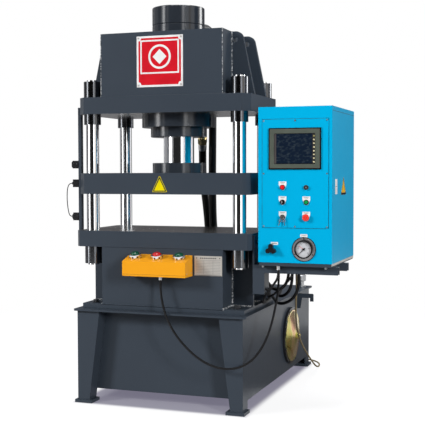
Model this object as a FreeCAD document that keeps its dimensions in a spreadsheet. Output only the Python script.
import FreeCAD, Part
import math
import os
from types import SimpleNamespace

import Sketcher

# A four-column hydraulic press on its oil tank, in millimetres. +X is to the right, +Y to the back and +Z up.
# The origin is on the floor, at the centre of the four foot bolts.

Vector = FreeCAD.Vector

SIZES = {
    # Feet, tank and legs
    "foot_width": 124, "foot_depth": 116, "foot_thick": 20, "foot_hole": 22,
    "foot_inset": 47, "foot_lead": 9,
    "tank_width": 1150, "tank_length": 1498, "tank_floor": 77, "tank_height": 534, "tank_wall": 6,
    "tank_plate_side": 22.5, "tank_plate_lead": 22, "tank_plate_thick": 12, "tank_plate_corner": 20,
    "leg_depth": 100, "leg_top_width": 160, "leg_bottom_width": 84, "leg_wall": 10,
    "cleanout_y": 281, "cleanout_z": 325, "cleanout_hole": 300, "cleanout_ring": 410,
    "cleanout_ring_thick": 18, "cleanout_cover": 374, "cleanout_dish": 34, "cleanout_rim": 12,
    "cleanout_sheet": 4, "stud_thread": 24, "stud_stand": 22,
    "hook_y": 516, "hook_reach": 118, "hook_bar": 32, "hook_thick": 14, "hook_leg": 112, "hook_tip": 58,
    # Ram axis and bedplate
    "ram_y": -464,
    "base_rim": 143.5, "base_depth": 644, "base_thick": 30,
    "base_bolt": 24, "base_bolt_head": 15, "base_bolt_inset": 66, "base_bolt_pitch": 260,
    "pedestal_depth": 644, "pedestal_height": 379, "pedestal_wall": 20,
    "wing_thick": 20, "wing_pitch": 250,
    "bed_rim": 95, "bed_depth": 650, "bed_thick": 106, "bed_chamfer": 25,
    # Columns and nuts
    "column_dia": 85, "shank_dia": 72, "column_seat": 3, "nut_clearance": 36.5, "column_pitch_y": 523,
    "nut_dia": 112, "pin_hole": 9, "pin_hole_depth": 16, "pin_hole_height": 46,
    "top_nut": 106, "collar_nut": 67, "bed_nut": 72, "lock_nut": 42, "shank_end": 10, "thread_gap": 0.2,
    # Crown
    "daylight_above_bed": 769, "plate_rim": 82.5, "crown_depth": 656, "crown_thick": 110,
    "plate_chamfer": 50, "crown_box_width": 845, "crown_box_depth": 640, "crown_box_height": 410,
    "crown_wall": 20, "gusset_foot": 154.5, "gusset_head": 68.5, "gusset_thick": 25, "gusset_corner": 52,
    "lift_hole": 32, "lift_hole_reach": 24.5, "lift_hole_drop": 54,
    "badge_x": -163, "badge_width": 320, "badge_z": 2072, "badge_height": 326, "badge_thick": 3,
    # Cylinder and ram
    "cylinder_dia": 350, "cylinder_bore": 250, "cylinder_flange": 494, "cylinder_flange_thick": 85,
    "cylinder_stand": 190, "cap_height": 122, "cap_spigot": 20, "cap_groove": 4,
    "gland_dia": 378, "gland_height": 65, "rod_dia": 205, "piston_height": 120, "piston_rise": 475,
    "ram_flange_dia": 356, "ram_flange_thick": 67, "flange_screw": 20, "flange_screw_head": 30,
    "flange_screw_pitch": 290, "flange_screw_count": 8, "seal_gap": 0.3, "bore_gap": 0.3,
    # Platen
    "platen_depth": 656, "platen_thick": 137, "platen_rest": 243,
    "bush_dia": 115, "guide_gap": 0.3,
    # Limit-switch rail
    "rail_thick": 22, "rail_y": 230, "rail_width": 30, "rail_below": 60, "rail_above": 50,
    "switch_upper": 1576, "switch_middle": 1450, "switch_lower": 1226, "switch_width": 34,
    "switch_height": 52, "switch_depth": 42, "dog_reach": 10, "dog_width": 16, "dog_height": 90,
    # Two-hand control box and data plate
    "box_width": 434, "box_depth": 128, "box_front": 95, "box_back": 132, "box_floor": 860, "box_sheet": 3,
    "button_pitch": 152, "button_dia": 56, "button_stem": 24, "button_stand": 14, "button_travel": 5,
    "button_dome": 6, "guard_dia": 80, "guard_wall": 8, "guard_height": 26, "guard_window": 11,
    "guard_band": 7, "button_gap": 0.4,
    "gland_x": 22, "gland_length": 26, "cable_gland_dia": 26,
    "data_plate_gap": 15, "data_plate_height": 127, "data_plate_thick": 2, "data_plate_inset": 4.5,
    "data_plate_z": 864,
    # Control cabinet
    "cabinet_gap": 51, "cabinet_width": 466, "cabinet_front": -336, "cabinet_depth": 656,
    "cabinet_floor": 964, "cabinet_height": 960, "cabinet_sheet": 3, "plinth_height": 22, "plinth_inset": 4,
    "panel_inset": 27, "panel_width": 417, "panel_z": 1181, "panel_height": 666, "panel_thick": 3,
    "screen_inset": 70, "screen_z": 1540, "screen_width": 329, "screen_height": 253, "screen_stand": 9,
    "screen_glass_width": 268, "screen_glass_height": 181, "screen_glass_x": 32, "screen_glass_z": 36,
    "screen_recess": 3,
    "left_controls": 157, "right_controls": 307, "control_top": 1430, "control_middle": 1339,
    "control_bottom": 1246, "bezel_dia": 32, "bezel_stand": 6, "bezel_bore": 23, "plunger_dia": 22,
    "plunger_gap": 0.4, "plunger_stand": 10, "knob_stand": 18, "stop_dia": 44, "stop_stand": 26,
    "stop_travel": 5, "green_travel": 4,
    "valve_knob_inset": 89, "valve_knob_z": 1048, "lobe_dia": 30, "lobe_ring": 20, "knob_hub": 36,
    "knob_thick": 24, "knob_neck": 14, "knob_gap": 0.4, "knob_bore": 10.4, "knob_pin": 10,
    "gauge_inset": 292, "gauge_z": 1051, "gauge_flange": 150, "gauge_flange_thick": 4, "gauge_case": 112,
    "gauge_case_stand": 20, "gauge_dial": 98, "gauge_dial_depth": 14, "pointer_length": 36,
    "pointer_tail": 12, "pointer_width": 5, "pointer_thick": 1.5, "pointer_lift": 3, "pointer_pin": 4,
    # Cabinet bracket
    "bracket_wall": 12, "arm_lead": 28, "arm_height": 50, "arm_depth": 50,
    "front_arm_y": -290, "rear_arm_y": -16, "post_floor": 757, "post_width": 76, "hanger_top": 1125,
    "bracket_bolt": 16,
    # Hydraulics and electrics behind the press
    "valve_x": 72, "valve_y": 420, "valve_width": 230, "valve_depth": 120, "valve_height": 160,
    "motor_x": -170, "motor_y": 760, "motor_dia": 270, "motor_length": 400, "motor_axis": 178,
    "motor_foot": 240, "motor_fin": 8, "pump_dia": 150, "pump_length": 170, "bell_dia": 220,
    "bell_length": 90,
    "breather_x": 72.5, "breather_y": 71, "breather_dia": 76, "breather_neck": 46, "breather_height": 92,
    "junction_x": 315, "junction_y": 440, "junction_width": 150, "junction_depth": 110,
    "junction_height": 190,
    # Hoses and cables
    "ram_hose": 54, "rear_hose": 54, "stub_dia": 26, "ferrule_dia": 57, "ferrule_length": 35,
    "union_dia": 68, "ram_port_x": 59, "ram_port_y": 296, "stub_length": 145,
    "conduit": 15, "tan_lead": 12, "black_lead": 20, "switch_lead": 6,
}

doc = FreeCAD.newDocument("hydraulic_press")
sheet = doc.addObject("Spreadsheet::Sheet", "Sizes")
for row, (alias, value) in enumerate(SIZES.items(), start=1):
    sheet.set(f"A{row}", alias)
    sheet.set(f"B{row}", f"{value:g}")
    sheet.setAlias(f"B{row}", alias)
doc.recompute()


class Size:
    """A length that carries both its number and the sheet expression that gives it."""

    def __init__(self, number, text):
        self.number = number
        self.text = text

    def __add__(self, other):
        return Size(self.number + number(other), f"({self.text} + {text(other)})")

    def __radd__(self, other):
        return Size(number(other) + self.number, f"({text(other)} + {self.text})")

    def __sub__(self, other):
        return Size(self.number - number(other), f"({self.text} - {text(other)})")

    def __rsub__(self, other):
        return Size(number(other) - self.number, f"({text(other)} - {self.text})")

    def __mul__(self, other):
        return Size(self.number * number(other), f"({self.text} * {text(other)})")

    def __rmul__(self, other):
        return Size(number(other) * self.number, f"({text(other)} * {self.text})")

    def __truediv__(self, other):
        return Size(self.number / number(other), f"({self.text} / {text(other)})")

    def __neg__(self):
        return Size(-self.number, f"(0 - {self.text})")


def number(size):
    return size.number if isinstance(size, Size) else size


def text(size):
    return size.text if isinstance(size, Size) else f"({size:.9g})"


d = SimpleNamespace(**{alias: Size(value, f"Sizes.{alias}") for alias, value in SIZES.items()})
nodes = {}


def bind(thing, **sizes):
    """Give properties their sizes, as expressions where they come from the sheet."""
    for name, size in sizes.items():
        setattr(thing, name, number(size))
        if isinstance(size, Size):
            thing.setExpression(name, size.text)
    return thing


def put(thing, x=0, y=0, z=0, axis=(0, 0, 1), turn=0):
    thing.Placement = FreeCAD.Placement(
        Vector(number(x), number(y), number(z)), FreeCAD.Rotation(Vector(*axis), turn))
    for name, size in zip("xyz", (x, y, z)):
        if isinstance(size, Size):
            thing.setExpression(f"Placement.Base.{name}", size.text)
    return thing


def node(name, thing):
    thing.Label = name
    nodes[name] = thing
    return thing


def block(x, y, z, width, depth, height):
    """A box from its lowest corner."""
    box = doc.addObject("Part::Box", "block")
    bind(box, Length=width, Width=depth, Height=height)
    return put(box, x, y, z)


def slab(x, y, z, width, depth, height):
    """A box centred on x and y, standing on z."""
    return block(x - width / 2, y - depth / 2, z, width, depth, height)


TURNS = {"z": ((0, 0, 1), 0), "x": ((0, 1, 0), 90), "y": ((1, 0, 0), -90), "-y": ((1, 0, 0), 90)}


def disc(x, y, z, diameter, height, along="z"):
    cylinder = doc.addObject("Part::Cylinder", "disc")
    bind(cylinder, Radius=diameter / 2, Height=height)
    return put(cylinder, x, y, z, *TURNS[along])


def hexagon(x, y, z, diameter, height, along="z"):
    prism = doc.addObject("Part::Prism", "hexagon")
    prism.Polygon = 6
    bind(prism, Circumradius=diameter / 2, Height=height)
    return put(prism, x, y, z, *TURNS[along])


def sphere(x, y, z, diameter):
    ball = doc.addObject("Part::Sphere", "ball")
    bind(ball, Radius=diameter / 2)
    return put(ball, x, y, z)


def cut(base, *tools):
    result = doc.addObject("Part::Cut", "cut")
    result.Base = base
    result.Tool = tools[0] if len(tools) == 1 else fuse(*tools)
    return result


def fuse(*shapes):
    result = doc.addObject("Part::MultiFuse", "fuse")
    result.Shapes = list(shapes)
    return result


def group(*shapes):
    result = doc.addObject("Part::Compound", "group")
    result.Links = list(shapes)
    return result


def outline(body, plane, points):
    """A closed sketch of straight lines whose corners are tied to the sheet."""
    sketch = body.newObject("Sketcher::SketchObject", "outline")
    origin_plane = next(item for item in body.Origin.OriginFeatures if item.Role == plane)
    sketch.AttachmentSupport = [(origin_plane, "")]
    sketch.MapMode = "FlatFace"
    count = len(points)
    corners = [Vector(number(u), number(v), 0) for u, v in points]
    for i in range(count):
        sketch.addGeometry(Part.LineSegment(corners[i], corners[(i + 1) % count]), False)
    for i in range(count):
        sketch.addConstraint(Sketcher.Constraint("Coincident", i, 2, (i + 1) % count, 1))
    for i, corner in enumerate(points):
        for kind, size in zip(("DistanceX", "DistanceY"), corner):
            index = sketch.addConstraint(Sketcher.Constraint(kind, -1, 1, i, 1, number(size)))
            if isinstance(size, Size):
                sketch.setExpression(f"Constraints[{index}]", size.text)
    return sketch


def padded(plane, points, length, both_sides=False):
    """A profile padded along its plane's normal: up for XY, to the front for XZ, to the right for YZ."""
    body = doc.addObject("PartDesign::Body", "padded")
    pad = body.newObject("PartDesign::Pad", "pad")
    pad.Profile = outline(body, plane, points)
    bind(pad, Length=length)
    if both_sides:
        pad.SideType = "Symmetric"
    body.Tip = pad
    return body


def turned(points):
    """A profile of (radius, height) points turned about the vertical axis."""
    body = doc.addObject("PartDesign::Body", "turned")
    sketch = outline(body, "XZ_Plane", points)
    revolution = body.newObject("PartDesign::Revolution", "revolution")
    revolution.Profile = sketch
    revolution.ReferenceAxis = (sketch, ["V_Axis"])
    revolution.Angle = 360
    body.Tip = revolution
    return body


def chamfered_plate(width, depth, thick, chamfer):
    """A thick plate whose four upright corners are cut at 45 degrees."""
    x, y = width / 2, depth / 2
    points = [(chamfer - x, -y), (x - chamfer, -y), (x, chamfer - y), (x, y - chamfer),
              (x - chamfer, y), (chamfer - x, y), (-x, y - chamfer), (-x, chamfer - y)]
    return padded("XY_Plane", points, thick)


def around(x_pitch, y_pitch, y_centre):
    """The four corner places of a rectangle on the ram axis."""
    return [(sx * x_pitch / 2, y_centre + sy * y_pitch / 2) for sy in (-1, 1) for sx in (-1, 1)]


# Levels, from the floor up
tank_top = d.tank_floor + d.tank_height
plate_top = tank_top + d.tank_plate_thick
base_top = plate_top + d.base_thick
bed_bottom = base_top + d.pedestal_height
bed_top = bed_bottom + d.bed_thick
crown_bottom = bed_top + d.daylight_above_bed
crown_top = crown_bottom + d.crown_thick
crown_box_top = crown_top + d.crown_box_height
platen_bottom = bed_top + d.platen_rest
platen_top = platen_bottom + d.platen_thick
gland_top = crown_bottom - d.cylinder_flange_thick
cylinder_top = crown_box_top + d.cylinder_stand

# Places that follow from the tank, the crown box, the bed and the cabinet
foot_pitch_x = d.tank_width - 2 * d.foot_inset
foot_pitch_y = d.tank_length + d.leg_depth + 2 * d.foot_lead
tank_plate_width = d.tank_width + 2 * d.tank_plate_side
tank_plate_length = d.tank_length + 2 * d.leg_depth + 2 * d.tank_plate_lead
lift_hole_x = d.crown_box_width / 2 + d.lift_hole_reach
pedestal_width = d.crown_box_width
base_width = pedestal_width + 2 * d.base_rim
data_plate_x = d.box_width / 2 + d.data_plate_gap
data_plate_width = pedestal_width / 2 - d.data_plate_inset - data_plate_x
column_pitch_x = d.crown_box_width + d.nut_dia + 2 * d.nut_clearance
crown_width = column_pitch_x + 2 * d.plate_rim
bed_width = column_pitch_x + 2 * d.bed_rim
rail_x = bed_width / 2
bracket_x = bed_width / 2
cabinet_x = bracket_x + d.cabinet_gap
arm_end = cabinet_x + d.cabinet_width + d.arm_lead
panel_x = cabinet_x + d.panel_inset
screen_x = cabinet_x + d.screen_inset
control_left = cabinet_x + d.left_controls
control_right = cabinet_x + d.right_controls
valve_knob_x = cabinet_x + d.valve_knob_inset
gauge_x = cabinet_x + d.gauge_inset


def make_tank():
    width, length, wall = d.tank_width, d.tank_length, d.tank_wall
    shell = slab(0, 0, d.tank_floor, width, length, d.tank_height)
    inside = slab(0, 0, d.tank_floor + wall, width - 2 * wall, length - 2 * wall, d.tank_height)
    hole = disc(width / 2 - 2 * wall, d.cleanout_y, d.cleanout_z, d.cleanout_hole, 3 * wall, "x")
    node("oil_tank", cut(shell, inside, hole))

    plate = doc.addObject("Part::Fillet", "rounded")
    plate.Base = slab(0, 0, tank_top, tank_plate_width, tank_plate_length, d.tank_plate_thick)
    corner = number(d.tank_plate_corner)
    doc.recompute()
    upright = [i for i, edge in enumerate(plate.Base.Shape.Edges, start=1)
               if abs(edge.tangentAt(edge.FirstParameter).z) > 0.9]
    plate.Edges = [(i, corner, corner) for i in upright]
    node("tank_top_plate", plate)


def make_legs():
    """Folded channels that taper towards the foot and are welded to the tank's front and rear faces."""
    outer, wall, foot = d.tank_width / 2, d.leg_wall, d.foot_thick
    inner_top, inner_bottom = outer - d.leg_top_width, outer - d.leg_bottom_width
    legs = []
    for side in (-1, 1):
        for end in (-1, 1):
            skin = [(side * outer, foot), (side * outer, tank_top), (side * inner_top, tank_top),
                    (side * inner_bottom, foot)]
            hollow = [(side * (outer - wall), foot - wall), (side * (outer - wall), tank_top + wall),
                      (side * (inner_top + wall), tank_top + wall),
                      (side * (inner_bottom + wall), foot - wall)]
            y_face = end * (d.tank_length / 2 + d.leg_depth / 2)
            channel = put(padded("XZ_Plane", skin, d.leg_depth, True), 0, y_face, 0)
            inside = put(padded("XZ_Plane", hollow, d.leg_depth, True), 0, y_face - end * wall, 0)
            legs.append(cut(channel, inside))
    for x, y in around(foot_pitch_x, foot_pitch_y, 0):
        plate = slab(x, y, 0, d.foot_width, d.foot_depth, d.foot_thick)
        legs.append(cut(plate, disc(x, y, -d.foot_thick, d.foot_hole, 3 * d.foot_thick)))
    node("legs", group(*legs))


def make_cleanout():
    face, y, z = d.tank_width / 2, d.cleanout_y, d.cleanout_z
    ring_thick, sheet_thick = d.cleanout_ring_thick, d.cleanout_sheet
    ring = cut(disc(face, y, z, d.cleanout_ring, ring_thick, "x"),
               disc(face - ring_thick, y, z, d.cleanout_hole, 3 * ring_thick, "x"))
    node("cleanout_ring", ring)

    rim, flat = d.cleanout_cover / 2, d.cleanout_cover / 2 - d.cleanout_rim
    hub = d.stud_thread
    dish, bore = d.cleanout_dish, d.stud_thread / 2 + d.thread_gap
    cover = turned([(bore, dish), (hub, dish), (flat, 0), (rim, 0), (rim, sheet_thick),
                    (flat + 2, sheet_thick), (hub + 2, dish + sheet_thick), (bore, dish + sheet_thick)])
    put(cover, face + ring_thick, y, z, *TURNS["x"])
    stud = disc(face - d.stud_stand, y, z, d.stud_thread, ring_thick + dish + 2 * d.stud_stand + sheet_thick,
                "x")
    nut = hexagon(face + ring_thick + dish + sheet_thick, y, z, 2 * hub, d.stud_stand * 0.7, "x")
    bar = slab(face - d.stud_stand, y, z - d.cleanout_hole / 2 - hub, hub, hub * 2, d.cleanout_hole + 2 * hub)
    node("cleanout_cover", group(cover, fuse(stud, nut, bar)))


def make_cable_hook():
    x, top, bar = d.tank_width / 2, tank_top - d.tank_wall, d.hook_bar
    reach = d.hook_reach
    points = [(x, top), (x, top - d.hook_leg), (x + bar * 0.6, top - d.hook_leg), (x + bar, top - bar),
              (x + reach - bar * 0.8, top - bar), (x + reach - bar * 0.8, top - d.hook_tip),
              (x + reach, top - d.hook_tip), (x + reach, top - bar * 0.2), (x + reach - bar * 0.2, top)]
    node("cable_hook", put(padded("XZ_Plane", points, d.hook_thick, True), 0, d.hook_y, 0))


def make_pedestal():
    node("base_plate", slab(0, d.ram_y, plate_top, base_width, d.base_depth, d.base_thick))
    bolts = []
    for side in (-1, 1):
        for step in (-1, 0, 1):
            x, y = side * (base_width / 2 - d.base_bolt_inset), d.ram_y + step * d.base_bolt_pitch
            bolts.append(fuse(hexagon(x, y, base_top + 4, 1.7 * d.base_bolt, d.base_bolt_head),
                              disc(x, y, base_top, 1.9 * d.base_bolt, 4)))
    node("base_bolts", group(*bolts))

    wall = d.pedestal_wall
    outside = slab(0, d.ram_y, base_top, pedestal_width, d.pedestal_depth, d.pedestal_height)
    inside = slab(0, d.ram_y, base_top - wall, pedestal_width - 2 * wall, d.pedestal_depth - 2 * wall,
                  d.pedestal_height + 2 * wall)
    walls = [cut(outside, inside)]
    reach = d.base_rim
    for side in (-1, 1):
        for end in (-1, 1):
            x = side * (pedestal_width / 2 + reach / 2)
            y = d.ram_y + end * d.wing_pitch / 2
            walls.append(slab(x, y, base_top, reach, d.wing_thick, d.pedestal_height))
    node("pedestal", fuse(*walls))


def column_holes(z, height):
    return [disc(x, y, z, d.shank_dia + 2 * d.thread_gap, height)
            for x, y in around(column_pitch_x, d.column_pitch_y, d.ram_y)]


def make_bed():
    """The bed plate, with a shallow seat for each column's shoulder."""
    plate = put(chamfered_plate(bed_width, d.bed_depth, d.bed_thick, d.bed_chamfer), 0, d.ram_y, bed_bottom)
    seats = [disc(x, y, bed_top - d.column_seat, d.column_dia + 2 * d.thread_gap, 2 * d.column_seat)
             for x, y in around(column_pitch_x, d.column_pitch_y, d.ram_y)]
    node("bed_plate", cut(plate, *column_holes(bed_bottom - 1, d.bed_thick + 2), *seats))


def make_columns():
    low = bed_bottom - d.bed_nut - d.lock_nut - d.shank_end
    high = crown_top + d.top_nut + d.shank_end
    seat = bed_top - d.column_seat
    columns = []
    for x, y in around(column_pitch_x, d.column_pitch_y, d.ram_y):
        columns.append(fuse(
            disc(x, y, low, d.shank_dia, seat - low),
            disc(x, y, seat, d.column_dia, crown_bottom - d.collar_nut - seat),
            disc(x, y, crown_bottom - d.collar_nut, d.shank_dia, high - crown_bottom + d.collar_nut)))
    node("columns", group(*columns))


def round_nut(x, y, z, height, holes):
    """A round nut with blind pin holes in its side for a hook spanner."""
    bore = disc(x, y, z - 1, d.shank_dia + 2 * d.thread_gap, height + 2)
    tools = [bore]
    for i in range(holes):
        angle = 2 * math.pi * (i + 0.5) / holes
        depth = d.nut_dia / 2 - d.pin_hole_depth
        pin = doc.addObject("Part::Cylinder", "pin_hole")
        bind(pin, Radius=d.pin_hole / 2, Height=d.nut_dia)
        put(pin, x + depth * math.cos(angle), y + depth * math.sin(angle), z + d.pin_hole_height)
        pin.Placement.Rotation = FreeCAD.Rotation(
            Vector(0, 0, 1), Vector(math.cos(angle), math.sin(angle), 0))
        tools.append(pin)
    return cut(disc(x, y, z, d.nut_dia, height), *tools)


def make_nuts():
    places = around(column_pitch_x, d.column_pitch_y, d.ram_y)
    tops = [round_nut(x, y, crown_top, d.top_nut, 6) for x, y in places]
    collars = [round_nut(x, y, crown_bottom - d.collar_nut, d.collar_nut, 0) for x, y in places]
    node("crown_nuts", group(*tops, *collars))
    nuts = [round_nut(x, y, bed_bottom - d.bed_nut, d.bed_nut, 0) for x, y in places]
    lock_nuts = [round_nut(x, y, bed_bottom - d.bed_nut - d.lock_nut, d.lock_nut - 1, 0) for x, y in places]
    node("bed_nuts", group(*nuts, *lock_nuts))


def make_gussets():
    """Plates welded to the crown box, round at the head and pierced for lifting."""
    root = d.crown_box_width / 2
    foot, head = root + d.gusset_foot, root + d.gusset_head
    gussets = []
    for side in (-1, 1):
        for end in (-1, 1):
            points = [(side * root, 0), (side * foot, 0), (side * head, d.crown_box_height),
                      (side * root, d.crown_box_height)]
            body = padded("XZ_Plane", points, d.gusset_thick, True)
            put(body, 0, d.ram_y + end * d.wing_pitch / 2, crown_top)
            doc.recompute()
            pad = body.Tip
            corner = [f"Edge{i}" for i, edge in enumerate(pad.Shape.Edges, start=1)
                      if all(abs(abs(v.X) - number(head)) < 0.01 for v in edge.Vertexes)]
            fillet = body.newObject("PartDesign::Fillet", "fillet")
            fillet.Base = (pad, corner)
            bind(fillet, Radius=d.gusset_corner)
            body.Tip = fillet
            hole = disc(side * lift_hole_x, d.ram_y + end * d.wing_pitch / 2 - d.gusset_thick,
                        crown_box_top - d.lift_hole_drop, d.lift_hole, 2 * d.gusset_thick, "y")
            gussets.append(cut(body, hole))
    return gussets


def make_crown():
    plate = put(chamfered_plate(crown_width, d.crown_depth, d.crown_thick, d.plate_chamfer),
                0, d.ram_y, crown_bottom)
    bore = disc(0, d.ram_y, crown_bottom - 1, d.cylinder_dia + 2 * d.bore_gap, d.crown_thick + 2)
    node("crown_plate", cut(plate, bore, *column_holes(crown_bottom - 1, d.crown_thick + 2)))

    wall = d.crown_wall
    outside = slab(0, d.ram_y, crown_top, d.crown_box_width, d.crown_box_depth, d.crown_box_height)
    inside = slab(0, d.ram_y, crown_top - wall, d.crown_box_width - 2 * wall, d.crown_box_depth - 2 * wall,
                  d.crown_box_height)
    bore = disc(0, d.ram_y, crown_box_top - 2 * wall, d.cylinder_dia + 2 * d.bore_gap, 3 * wall)
    node("crown_box", fuse(cut(outside, inside, bore), *make_gussets()))

    plate = block(d.badge_x, d.ram_y - d.crown_box_depth / 2 - d.badge_thick, d.badge_z, d.badge_width,
                  d.badge_thick, d.badge_height)
    screws = [disc(x, d.ram_y - d.crown_box_depth / 2 - d.badge_thick - 3, z, 11, 3, "y")
              for x in (d.badge_x + 12, d.badge_x + d.badge_width - 12)
              for z in (d.badge_z + 12, d.badge_z + d.badge_height - 12)]
    node("badge_plate", fuse(plate, *screws))


def make_cylinder():
    outer, bore, flange = d.cylinder_dia / 2, d.cylinder_bore / 2, d.cylinder_flange / 2
    tube_top = cylinder_top - gland_top - d.cap_height
    body = turned([(bore, 0), (flange, 0), (flange, d.cylinder_flange_thick),
                   (outer, d.cylinder_flange_thick), (outer, tube_top), (bore, tube_top)])
    node("cylinder_body", put(body, 0, d.ram_y, gland_top))

    groove = d.cap_groove
    cap = turned([(0, -d.cap_spigot), (bore - d.bore_gap, -d.cap_spigot), (bore - d.bore_gap, 0),
                  (outer - groove, 0), (outer - groove, groove), (outer, 2 * groove),
                  (outer, d.cap_height - groove), (outer - groove, d.cap_height), (0, d.cap_height)])
    node("cylinder_cap", put(cap, 0, d.ram_y, cylinder_top - d.cap_height))

    rod_bore = d.rod_dia / 2 + d.seal_gap
    gland = turned([(rod_bore, 0), (d.gland_dia / 2 - groove, 0), (d.gland_dia / 2, groove),
                    (d.gland_dia / 2, d.gland_height), (rod_bore, d.gland_height)])
    node("gland_ring", put(gland, 0, d.ram_y, gland_top - d.gland_height))


def make_ram():
    flange_top = platen_top + d.ram_flange_thick
    piston_floor = d.ram_flange_thick + d.piston_rise
    piston_top = piston_floor + d.piston_height
    radius, rod = d.cylinder_bore / 2 - d.seal_gap, d.rod_dia / 2
    ram = turned([(0, 0), (rod, 0), (rod, piston_floor), (radius, piston_floor), (radius, piston_top),
                  (0, piston_top)])
    node("ram_rod", put(ram, 0, d.ram_y, platen_top))

    flange = cut(disc(0, d.ram_y, platen_top, d.ram_flange_dia, d.ram_flange_thick),
                 disc(0, d.ram_y, platen_top - 1, d.rod_dia + 2 * d.thread_gap, d.ram_flange_thick + 2))
    head, depth = d.flange_screw_head, d.flange_screw
    counterbores, screws = [], []
    count = int(number(d.flange_screw_count))
    for i in range(count):
        angle = 2 * math.pi * (i + 0.5) / count
        x = d.flange_screw_pitch / 2 * math.cos(angle)
        y = d.ram_y + d.flange_screw_pitch / 2 * math.sin(angle)
        counterbores.append(disc(x, y, flange_top - depth - 1, head + 2, depth + 2))
        counterbores.append(disc(x, y, platen_top - 1, d.flange_screw + 1, d.ram_flange_thick))
        cap = disc(x, y, flange_top - depth - 1, head, depth)
        socket = hexagon(x, y, flange_top - depth / 2, head * 0.6, depth)
        shank = disc(x, y, platen_top, d.flange_screw, d.ram_flange_thick - depth - 1)
        screws.append(cut(fuse(cap, shank), socket))
    node("ram_flange", cut(flange, *counterbores))
    node("ram_flange_screws", group(*screws))


def make_platen():
    plate = put(chamfered_plate(crown_width, d.platen_depth, d.platen_thick, d.plate_chamfer),
                0, d.ram_y, platen_bottom)
    places = around(column_pitch_x, d.column_pitch_y, d.ram_y)
    seats = [disc(x, y, platen_bottom - 1, d.bush_dia, d.platen_thick + 2) for x, y in places]
    dog = block(-crown_width / 2 - d.dog_reach, d.ram_y - d.rail_y + d.rail_width / 2 + 14,
                platen_bottom + 20, 2 * d.dog_reach, d.dog_width, d.dog_height)
    node("platen", fuse(cut(plate, *seats), dog))
    bushes = []
    for x, y in places:
        bush = disc(x, y, platen_bottom, d.bush_dia, d.platen_thick)
        bore = disc(x, y, platen_bottom - 1, d.column_dia + 2 * d.guide_gap, d.platen_thick + 2)
        bushes.append(cut(bush, bore))
    node("guide_bushes", group(*bushes))


def make_switches():
    """A flat rail outside the platen's left side, with three switches."""
    y = d.ram_y - d.rail_y
    low, high = bed_bottom + d.rail_below / 2, crown_bottom + d.rail_above
    rail = block(-rail_x - d.rail_thick, y - d.rail_width / 2, low, d.rail_thick, d.rail_width, high - low)
    pads = [block(-rail_x, y - d.rail_width / 2, crown_bottom + 5, rail_x - crown_width / 2,
                  d.rail_width, d.rail_above - 10)]
    node("limit_switch_rail", fuse(rail, *pads))

    switches = []
    for z in (d.switch_upper, d.switch_middle, d.switch_lower):
        body = block(-rail_x - d.rail_thick - d.switch_depth, y - d.switch_width / 2,
                     z - d.switch_height / 2, d.switch_depth, d.switch_width, d.switch_height)
        neck = disc(-rail_x - d.rail_thick - d.switch_depth - 12, y, z, d.switch_width * 0.5, 12, "x")
        arm = block(-rail_x - d.rail_thick - d.switch_depth / 2, y + d.switch_width / 2, z - 5,
                    d.switch_depth / 2 + 8, 14, 10)
        switches.append(fuse(body, neck, arm))
    node("limit_switches", group(*switches))


def button_guard():
    """A chromed collar round a push button, pierced all round by eight windows."""
    outer, inner, height = d.guard_dia / 2, d.guard_dia / 2 - d.guard_wall, d.guard_height
    collar = turned([(inner, 0), (outer, 0), (outer, height - 3), (outer - 3, height), (inner, height)])
    windows = []
    for i in range(4):
        window = slab(0, 0, d.guard_band, d.guard_dia + 4, d.guard_window, height - 2 * d.guard_band)
        windows.append(put(group(window), 0, 0, 0, (0, 0, 1), 45 * i))
    return cut(collar, *windows)


def make_control_box():
    """The two-hand box: a folded housing with a sloping top that carries three buttons."""
    front, depth = d.ram_y - d.pedestal_depth / 2 - d.box_depth, d.box_depth
    points = [(0, 0), (depth, 0), (depth, d.box_back), (0, d.box_front)]
    housing = put(padded("YZ_Plane", points, d.box_width, True), 0, front, d.box_floor)
    rise = number(d.box_back) - number(d.box_front)
    slope = math.degrees(math.atan2(rise, number(depth)))
    tilt = FreeCAD.Rotation(Vector(1, 0, 0), slope)
    y, z = front + depth / 2, d.box_floor + (d.box_front + d.box_back) / 2

    def on_slope(thing, x):
        put(thing, x, y, z)
        thing.Placement.Rotation = tilt
        return thing

    shaft, cap, dome = d.button_stem / 2, d.button_dia / 2, d.button_dome
    foot, seat = -d.button_stand, d.guard_height - d.guard_band
    top = d.guard_height + d.button_stand
    well_floor, well = foot - d.button_travel - 2, shaft + d.button_gap
    wells, guards = [], []
    for name, place in (("left_button", -1), ("stop_button", 0), ("right_button", 1)):
        x = place * d.button_pitch
        wells.append(on_slope(turned([(0, well_floor), (well, well_floor), (well, 5), (0, 5)]), x))
        guards.append(on_slope(button_guard(), x))
        mushroom = [(0, foot), (shaft, foot), (shaft, seat), (cap - dome, seat), (cap, seat + dome),
                    (cap, top - 2 * dome), (cap - dome / 2, top - dome), (cap - 2 * dome, top - dome / 4),
                    (0, top)]
        node(name, on_slope(turned(mushroom), x))
    node("control_box", cut(housing, *wells))
    node("button_guards", group(*guards))
    node("data_plate", block(data_plate_x, front + depth - d.data_plate_thick, d.data_plate_z,
                             data_plate_width, d.data_plate_thick, d.data_plate_height))


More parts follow.
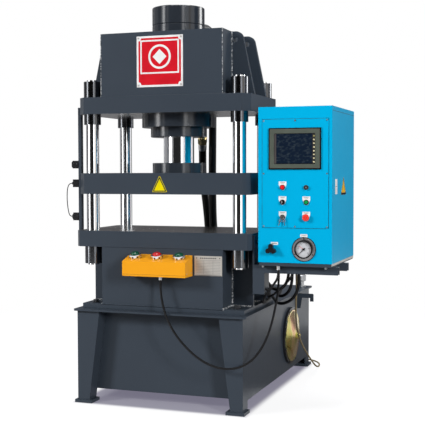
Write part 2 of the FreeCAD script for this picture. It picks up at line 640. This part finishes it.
def make_cabinet():
    front = d.ram_y + d.cabinet_front
    sheet_thick = d.cabinet_sheet
    shell = block(cabinet_x, front, d.cabinet_floor, d.cabinet_width, d.cabinet_depth, d.cabinet_height)
    inside = block(cabinet_x + sheet_thick, front + 12 * sheet_thick, d.cabinet_floor + sheet_thick,
                   d.cabinet_width - 2 * sheet_thick, d.cabinet_depth - 13 * sheet_thick,
                   d.cabinet_height - 2 * sheet_thick)
    places = [(x, z) for x in (control_left, control_right)
              for z in (d.control_middle, d.control_bottom)]
    wells = [disc(x, front - 10, z, d.plunger_dia + 2 * d.plunger_gap, 30, "y") for x, z in places]
    neck = disc(valve_knob_x, front - d.knob_neck + d.knob_gap, d.valve_knob_z, d.knob_hub * 0.7,
                d.knob_neck, "y")
    pin = disc(valve_knob_x, front - d.knob_neck - d.knob_thick / 2 + d.knob_gap, d.valve_knob_z,
               d.knob_pin, d.knob_thick / 2 + d.knob_neck, "y")
    node("cabinet_shell", fuse(cut(shell, inside, *wells), neck, pin))

    panel = block(panel_x, front - d.panel_thick, d.panel_z, d.panel_width, d.panel_thick, d.panel_height)
    wells = [disc(x, front - 10, z, d.plunger_dia + 2 * d.plunger_gap, 30, "y") for x, z in places]
    node("front_panel", cut(panel, *wells))
    face = front - d.panel_thick

    frame = block(screen_x, face - d.screen_stand, d.screen_z, d.screen_width, d.screen_stand,
                  d.screen_height)
    recess = block(screen_x + d.screen_glass_x, face - d.screen_stand - 1, d.screen_z + d.screen_glass_z,
                   d.screen_glass_width, d.screen_recess + 1, d.screen_glass_height)
    node("screen_frame", cut(frame, recess))

    bezels = []
    for x, z in places:
        bezels.append(cut(disc(x, face - d.bezel_stand, z, d.bezel_dia, d.bezel_stand, "y"),
                          disc(x, face - 2 * d.bezel_stand, z, d.bezel_bore, 3 * d.bezel_stand, "y")))
    lamp = turned([(0, 0), (d.bezel_dia / 2, 0), (d.bezel_dia / 2, 5), (11, 7), (11, 14), (8, 17), (0, 18)])
    node("pilot_lamp", put(lamp, control_left, face, d.control_top, *TURNS["-y"]))
    buzzer = turned([(0, 0), (14, 0), (14, 10), (12, 12), (4, 12), (4, 10), (0, 10)])
    bezels.append(put(buzzer, control_right, face, d.control_top, *TURNS["-y"]))
    node("control_bezels", group(*bezels))

    stem = d.plunger_dia / 2
    rear = -12
    green = turned([(0, rear), (stem, rear), (stem, d.plunger_stand - 2), (stem - 2, d.plunger_stand),
                    (0, d.plunger_stand)])
    node("green_button", put(green, control_right, face, d.control_middle, *TURNS["-y"]))
    mushroom = d.stop_dia / 2
    stop = turned([(0, rear), (stem, rear), (stem, d.stop_stand - 12), (mushroom - 3, d.stop_stand - 12),
                   (mushroom, d.stop_stand - 8), (mushroom - 3, d.stop_stand - 2), (mushroom - 10,
                    d.stop_stand), (0, d.stop_stand)])
    node("emergency_stop", put(stop, control_right, face, d.control_bottom, *TURNS["-y"]))
    for name, z in (("selector_switch", d.control_middle), ("key_switch", d.control_bottom)):
        barrel = put(turned([(0, rear), (stem, rear), (stem, 8), (0, 8)]), control_left, face, z,
                     *TURNS["-y"])
        wide = 7 if name == "selector_switch" else 3
        grip = slab(control_left, face - d.knob_stand / 2 - 2, z - stem * 0.9, wide, d.knob_stand - 4,
                    stem * 1.8)
        node(name, fuse(barrel, grip))


def make_valve_knob():
    front = d.ram_y + d.cabinet_front
    x, z = valve_knob_x, d.valve_knob_z
    face = front - d.knob_neck
    lobes = [disc(x, face - d.knob_thick, z, d.knob_hub, d.knob_thick, "y")]
    for i in range(3):
        angle = math.radians(90 + 120 * i)
        lobes.append(disc(x + d.lobe_ring * math.cos(angle), face - d.knob_thick,
                          z + d.lobe_ring * math.sin(angle), d.lobe_dia, d.knob_thick, "y"))
    bore = disc(x, face - d.knob_thick / 2, z, d.knob_bore, d.knob_thick, "y")
    node("valve_knob", cut(fuse(*lobes), bore))


def make_gauge():
    front, x, z = d.ram_y + d.cabinet_front, gauge_x, d.gauge_z
    flange, case, dial = d.gauge_flange / 2, d.gauge_case / 2, d.gauge_dial / 2
    floor = d.gauge_case_stand - d.gauge_dial_depth
    body = turned([(0, 0), (flange, 0), (flange, d.gauge_flange_thick), (case, d.gauge_flange_thick),
                   (case, d.gauge_case_stand - 2), (case - 2, d.gauge_case_stand), (dial,
                    d.gauge_case_stand), (dial, floor), (0, floor)])
    pin = disc(0, 0, floor, d.pointer_pin, d.pointer_lift + 4)
    node("gauge_case", put(fuse(body, pin), x, front, z, *TURNS["-y"]))
    half, length, tail = d.pointer_width / 2, d.pointer_length, d.pointer_tail
    needle = padded("XY_Plane", [(-tail, -half), (0, -half), (length, -0.5), (length, 0.5), (0, half),
                                 (-tail, half)], d.pointer_thick)
    hub = disc(0, 0, 0, d.pointer_pin * 2.6, d.pointer_thick)
    bore = disc(0, 0, -1, d.pointer_pin + 0.6, d.pointer_thick + 2)
    pointer = cut(fuse(needle, hub), bore)
    put(pointer, x, front - floor - d.pointer_lift, z)
    pointer.Placement.Rotation = FreeCAD.Rotation(Vector(1, 0, 0), 90) * FreeCAD.Rotation(
        Vector(0, 0, 1), 225)
    node("gauge_pointer", pointer)


def make_bracket():
    """Welded bracket that hangs from the bed's side and carries the cabinet on two arms."""
    wall, x = d.bracket_wall, bracket_x
    arm_top = d.cabinet_floor - d.plinth_height
    front_y, rear_y = d.ram_y + d.front_arm_y, d.ram_y + d.rear_arm_y
    reach = rear_y + d.arm_depth - front_y
    plate = block(x, front_y, d.post_floor, wall, reach, d.hanger_top - d.post_floor)
    post = block(x, front_y, d.post_floor, d.post_width, wall, arm_top - d.post_floor)
    arms = []
    for y in (front_y, rear_y):
        outside = block(x, y, arm_top - d.arm_height, arm_end - x, d.arm_depth, d.arm_height)
        inside = block(x - 1, y + 5, arm_top - d.arm_height - 1, arm_end - x + 2, d.arm_depth - 10,
                       d.arm_height - 4)
        arms.append(cut(outside, inside))
    inset = d.plinth_inset
    plinth = block(cabinet_x + inset, d.ram_y + d.cabinet_front + inset, arm_top,
                   d.cabinet_width - 2 * inset, d.cabinet_depth - 2 * inset, d.plinth_height)
    bolts = [hexagon(x + wall, front_y + reach * share, d.hanger_top - 40, 1.7 * d.bracket_bolt,
                     d.bracket_bolt * 0.65, "x") for share in (0.15, 0.5, 0.85)]
    node("cabinet_bracket", fuse(plate, post, *arms, plinth, *bolts))


def tank_breather():
    """Filler and breather cap at the rear right corner of the tank top."""
    cap, neck, height = d.breather_dia / 2, d.breather_neck / 2, d.breather_height
    lip = height / 2 - neck / 4
    profile = [(0, 0), (cap, 0), (cap, neck / 4), (neck, neck / 4), (neck, lip), (cap, height / 2),
               (cap, height - neck / 4), (cap - neck / 3, height), (0, height)]
    return put(turned(profile), tank_plate_width / 2 - d.breather_x, tank_plate_length / 2 - d.breather_y,
               plate_top)


def make_power_unit():
    """Valve block, motor with pump, and junction box on the tank top behind the press."""
    x, y = d.valve_x, d.ram_y + d.valve_y
    block_part = slab(x, y, plate_top, d.valve_width, d.valve_depth, d.valve_height)
    coil_z = plate_top + d.valve_height * 0.6
    coils = [disc(x + step * d.valve_width * 0.3, y + d.valve_depth / 2, coil_z, 52, 85, "y")
             for step in (-1, 0, 1)]
    node("valve_block", group(fuse(block_part, *coils), tank_breather()))

    mx, my, mz = d.motor_x, d.ram_y + d.motor_y, plate_top + d.motor_axis
    barrel = disc(mx - d.motor_length / 2, my, mz, d.motor_dia - 3 * d.motor_fin, d.motor_length, "x")
    fins = []
    for i in range(16):
        fin = slab(0, 0, -d.motor_dia / 2, d.motor_length * 0.7, 4, d.motor_dia)
        fins.append(put(group(fin), mx, my, mz, (1, 0, 0), 11.25 * i))
    cowl = disc(mx - d.motor_length / 2 - 50, my, mz, d.motor_dia, 60, "x")
    foot = slab(mx, my, plate_top, d.motor_length * 0.6, d.motor_foot, d.motor_axis - d.motor_dia * 0.35)
    terminal = slab(mx, my, mz + d.motor_dia / 2 - 25, 120, 110, 80)
    bell = disc(mx + d.motor_length / 2, my, mz, d.bell_dia, d.bell_length, "x")
    pump = disc(mx + d.motor_length / 2 + d.bell_length, my, mz, d.pump_dia, d.pump_length, "x")
    node("pump_motor", fuse(barrel, cowl, foot, terminal, bell, pump, *fins))

    jx, jy = d.junction_x, d.ram_y + d.junction_y
    node("junction_box", block(jx, jy, plate_top, d.junction_width, d.junction_depth, d.junction_height))


def tube(points, diameter):
    """Straight runs joined by tangent arcs, each as large as its two runs allow."""
    path = [Vector(*point) for point in points]
    edges, start, tightest = [], path[0], None
    for before, corner, after in zip(path, path[1:], path[2:]):
        first, second = (corner - before), (after - corner)
        turn = first.getAngle(second)
        trim = 0.45 * min(first.Length, second.Length)
        radius = trim / math.tan(turn / 2)
        tightest = radius if tightest is None else min(tightest, radius)
        first.normalize()
        second.normalize()
        arc_start, arc_end = corner - first * trim, corner + second * trim
        inward = second - first
        inward.normalize()
        middle = corner + inward * (radius / math.cos(turn / 2) - radius)
        edges.append(Part.LineSegment(start, arc_start).toShape())
        edges.append(Part.Arc(arc_start, middle, arc_end).toShape())
        start = arc_end
    edges.append(Part.LineSegment(start, path[-1]).toShape())
    wire = Part.Wire(edges)
    section = Part.Wire(Part.Circle(path[0], path[1] - path[0], diameter / 2).toShape())
    solid = wire.makePipeShell([section], True, False)
    return solid, wire.Length, tightest


def make_cord(name, diameter, points):
    size = number(diameter)
    solid, length, tightest = tube(points, size)
    ratio = solid.Volume / (math.pi * size * size / 4 * length)
    print(f"{name}: {length:.0f} mm long, tightest radius {tightest:.0f} mm, volume ratio {ratio:.4f}")
    feature = doc.addObject("Part::Feature", name)
    feature.Shape = solid
    node(name, feature)


def make_hoses():
    """The ram hose leans back from the crown; the rear hose drops from a bent pipe on the cylinder's head."""
    x, y, z = d.ram_port_x, d.ram_y + d.ram_port_y, crown_bottom - d.stub_length
    lean = Vector(*RAM_HOSE[0]) - Vector(number(x), number(y), number(z))
    hexagon_half = hexagon(x, y, z, d.union_dia, 0.5 * lean.Length)
    collar = disc(x, y, z, d.ferrule_dia, lean.Length)
    for part in (hexagon_half, collar):
        part.Placement.Rotation = FreeCAD.Rotation(Vector(0, 0, 1), lean)
    stub = disc(x, y, z, d.stub_dia, crown_bottom - z)
    ram_fitting = fuse(stub, sphere(x, y, z, d.stub_dia * 1.6), hexagon_half, collar)

    pipe = doc.addObject("Part::Feature", "pipe")
    pipe.Shape = tube(HEAD_PIPE, number(d.rear_hose))[0]
    pipe_x, pipe_y, pipe_foot = REAR_HOSE[0]
    union = hexagon(pipe_x, pipe_y, pipe_foot, d.union_dia, d.ferrule_length)
    cylinder = disc(0, d.ram_y, crown_box_top, d.cylinder_dia, d.cylinder_stand)
    head_fitting = fuse(cut(pipe, cylinder), union)

    block_top = plate_top + d.valve_height
    ferrules = [disc(route[-1][0], route[-1][1], block_top, d.ferrule_dia, d.ferrule_length)
                for route in (RAM_HOSE, REAR_HOSE)]
    node("hose_fittings", group(ram_fitting, head_fitting, *ferrules))
    make_cord("ram_hose", d.ram_hose, RAM_HOSE)
    make_cord("rear_hose", d.rear_hose, REAR_HOSE)


# Hand-chosen points of the pipe, hoses, conduits and leads, from end to end
HEAD_PIPE = [(48, -303, 2523), (108.9, -98.9, 2523), (108.9, -98.9, 2343)]
RAM_HOSE = [
    (43.2, -123.7, 1694.8), (24.9, -72.4, 1617), (12.8, -38.4, 1502.6), (24, -36, 1400), (38, -36, 1300),
    (50, -40, 1200), (58, -42, 1100), (60, -44, 985), (58, -44, 890), (58, -44, 818)]
REAR_HOSE = [
    (108.9, -98.9, 2343), (108.9, -98.9, 2240), (110, -97, 2120), (110.5, -96, 1990), (110, -95.5, 1860),
    (109, -96, 1730), (108, -97, 1600), (107.5, -97.5, 1470), (108, -96.5, 1340), (109, -94, 1220),
    (112, -86, 1110), (117, -70, 1010), (122, -54, 930), (124, -44, 870), (124, -44, 818)]
BUTTON_CONDUIT = [
    (22, -850, 834), (22, -850, 775), (42, -868, 685), (82, -898, 600), (140, -913, 510), (218, -919, 425),
    (312, -920, 352), (415, -917, 308), (518, -909, 300), (612, -886, 330), (676, -833, 400),
    (712, -772, 490), (729, -718, 585), (739, -676, 680), (745, -640, 770), (737, -598, 860),
    (737, -598, 918)]
UPPER_CONDUIT = [
    (786, -782, 918), (786, -782, 872), (757, -777, 828), (722, -762, 786), (686, -732, 744),
    (656, -682, 704), (636, -612, 683), (622, -530, 676), (611, -440, 674), (600, -350, 678),
    (583, -262, 690), (552, -184, 702), (508, -122, 711), (464, -86, 714), (432, -66, 714), (432, -44, 714)]
LOWER_CONDUIT = [
    (834, -614, 918), (834, -614, 868), (790, -602, 818), (744, -590, 774), (696, -568, 736),
    (654, -528, 712), (626, -462, 706), (608, -380, 710), (589, -292, 722), (555, -212, 738),
    (508, -146, 754), (456, -98, 762), (414, -66, 764), (414, -44, 764)]
FIRST_LOOP = [
    (850, -524, 918), (850, -524, 858), (845, -510, 790), (824, -496, 732), (784, -474, 688),
    (728, -440, 660), (676, -392, 654), (640, -330, 656), (612, -262, 664), (572, -196, 676),
    (514, -142, 682), (448, -112, 674), (386, -84, 664), (386, -44, 664)]
SECOND_LOOP = [
    (752, -408, 918), (752, -408, 868), (744, -406, 812), (718, -398, 768), (676, -376, 742),
    (630, -336, 738), (588, -276, 752), (544, -214, 778), (490, -156, 800), (428, -108, 808),
    (362, -84, 798), (362, -44, 798)]
THIRD_LOOP = [
    (800, -500, 918), (800, -500, 860), (794, -492, 802), (774, -472, 752), (738, -444, 718),
    (696, -404, 702), (668, -350, 700), (654, -284, 704), (642, -210, 708), (622, -136, 710),
    (588, -72, 708), (542, -22, 704), (515, -2, 700), (485, -2, 700)]
TAN_LEAD = [
    (801, -404, 918), (801, -404, 850), (800, -390, 770), (786, -350, 682), (765, -278, 592),
    (743, -180, 505), (722, -66, 420), (706, 66, 335), (696, 210, 252), (690, 360, 172), (686, 500, 100),
    (683, 620, 42), (680, 716, 12), (672, 812, 6), (644, 902, 6), (590, 975, 6), (515, 1020, 6),
    (430, 1032, 8), (345, 1012, 30), (278, 980, 90), (228, 952, 180), (190, 936, 290), (160, 930, 405),
    (128, 926, 520), (94, 920, 628), (54, 888, 730), (4, 820, 806), (-52, 734, 856), (-106, 636, 892),
    (-146, 540, 924), (-164, 454, 944), (-170, 396, 950), (-170, 351, 950)]
SWITCH_LEAD = [
    (-686, -694, 1450), (-706, -694, 1450), (-722, -695, 1425), (-726, -697, 1380), (-725, -698, 1330),
    (-721, -697, 1285), (-715, -695, 1248), (-704, -694, 1226), (-686, -694, 1226)]


def make_cables():
    make_cord("button_conduit", d.conduit, BUTTON_CONDUIT)
    make_cord("upper_conduit", d.conduit, UPPER_CONDUIT)
    make_cord("lower_conduit", d.conduit, LOWER_CONDUIT)
    make_cord("first_loop", d.black_lead, FIRST_LOOP)
    make_cord("second_loop", d.black_lead, SECOND_LOOP)
    make_cord("third_loop", d.black_lead, THIRD_LOOP)
    make_cord("tan_lead_cable", d.tan_lead, TAN_LEAD)
    make_cord("switch_lead_cable", d.switch_lead, SWITCH_LEAD)
    plinth_bottom = d.cabinet_floor - d.plinth_height
    box_y = d.ram_y - d.pedestal_depth / 2 - d.box_depth / 2
    glands = [fuse(hexagon(d.gland_x, box_y, d.box_floor - d.gland_length * 0.4, d.cable_gland_dia * 1.15,
                           d.gland_length * 0.4),
                   disc(d.gland_x, box_y, d.box_floor - d.gland_length, d.cable_gland_dia * 0.9,
                        d.gland_length))]
    for route in (BUTTON_CONDUIT[::-1], UPPER_CONDUIT, LOWER_CONDUIT, FIRST_LOOP, SECOND_LOOP, THIRD_LOOP,
                  TAN_LEAD):
        x, y, z = route[0]
        glands.append(disc(x, y, z, d.cable_gland_dia * 0.9, plinth_bottom - z))
    for route in (UPPER_CONDUIT, LOWER_CONDUIT, FIRST_LOOP, SECOND_LOOP):
        x, y, z = route[-1]
        glands.append(disc(x, y, z, d.cable_gland_dia * 0.9, d.ram_y + d.junction_y - y, "y"))
    x, y, z = THIRD_LOOP[-1]
    side = d.junction_x + d.junction_width
    glands.append(disc(side, y, z, d.cable_gland_dia * 0.9, x - side, "x"))
    node("cable_glands", group(*glands))


make_tank()
make_legs()
make_cleanout()
make_cable_hook()
make_pedestal()
make_bed()
make_columns()
make_nuts()
make_crown()
make_cylinder()
make_ram()
make_platen()
make_switches()
make_control_box()
make_cabinet()
make_valve_knob()
make_gauge()
make_bracket()
make_power_unit()
make_hoses()
make_cables()
doc.recompute()

for item in doc.Objects:
    if "Invalid" in item.State or "Error" in item.State:
        raise RuntimeError(f"{item.Label} did not build: {item.State}")
for name, thing in nodes.items():
    if thing.Shape.isNull() or not thing.Shape.isValid() or not thing.Shape.Solids:
        raise RuntimeError(f"{name} has no valid solid")

os.makedirs("parts", exist_ok=True)
for name, thing in nodes.items():
    thing.Shape.exportStep(f"parts/{name}.step")
print(f"{len(nodes)} parts written")
